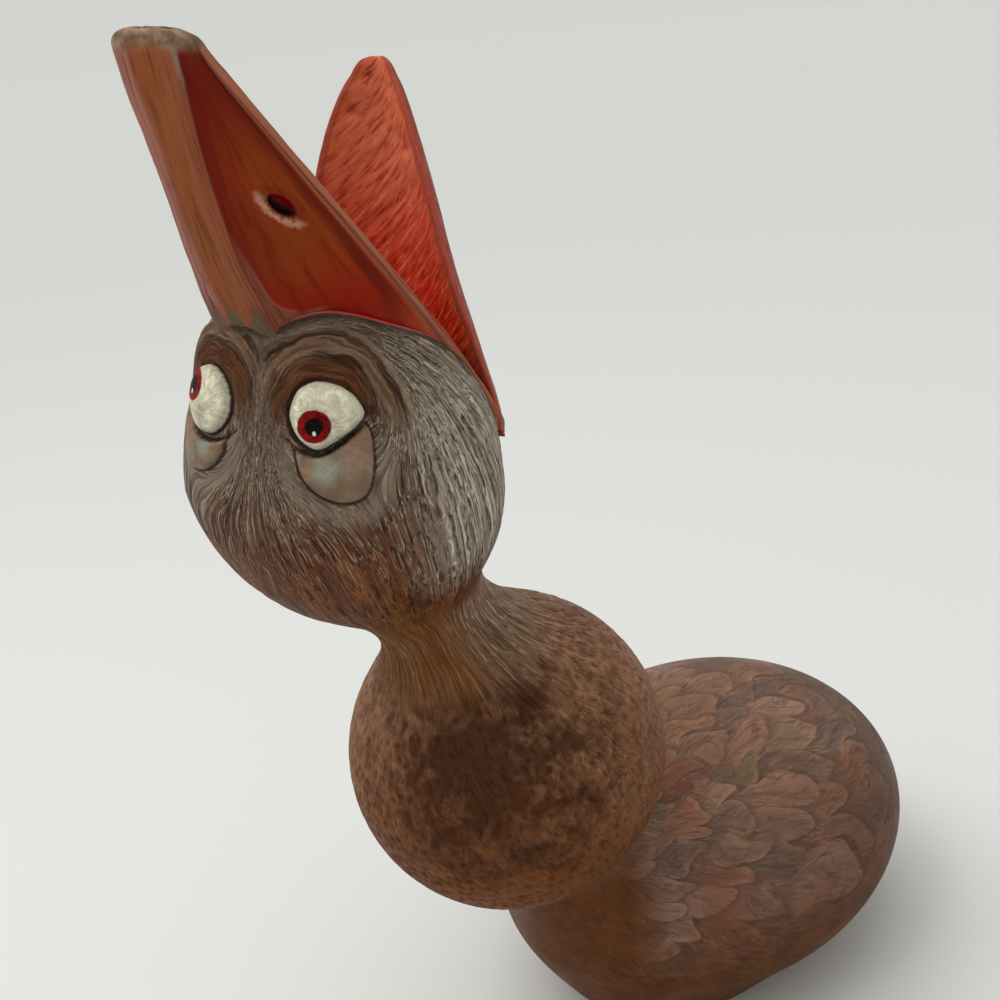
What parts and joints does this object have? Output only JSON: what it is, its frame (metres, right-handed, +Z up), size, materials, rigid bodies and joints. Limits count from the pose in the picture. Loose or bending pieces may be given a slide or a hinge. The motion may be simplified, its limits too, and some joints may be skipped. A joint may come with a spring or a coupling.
{
  "type": "carved bird sculpture",
  "caption": "Carved and painted wooden bird with a round body, ball chest, thin neck and an open beak pointing up; it stands on its flat underside.",
  "frame": {"origin": "on the flat underside, below the middle of the body", "axes": "+Z up, -Y the way the bird's body and chest face, +X the bird's left"},
  "size_m": [0.1138, 0.2415, 0.2759],
  "materials": {
    "painted_wood": "painted, satin varnish"
  },
  "bodies": {
    "root": {"carved_bird": "painted_wood"}
  },
  "joints": []
}
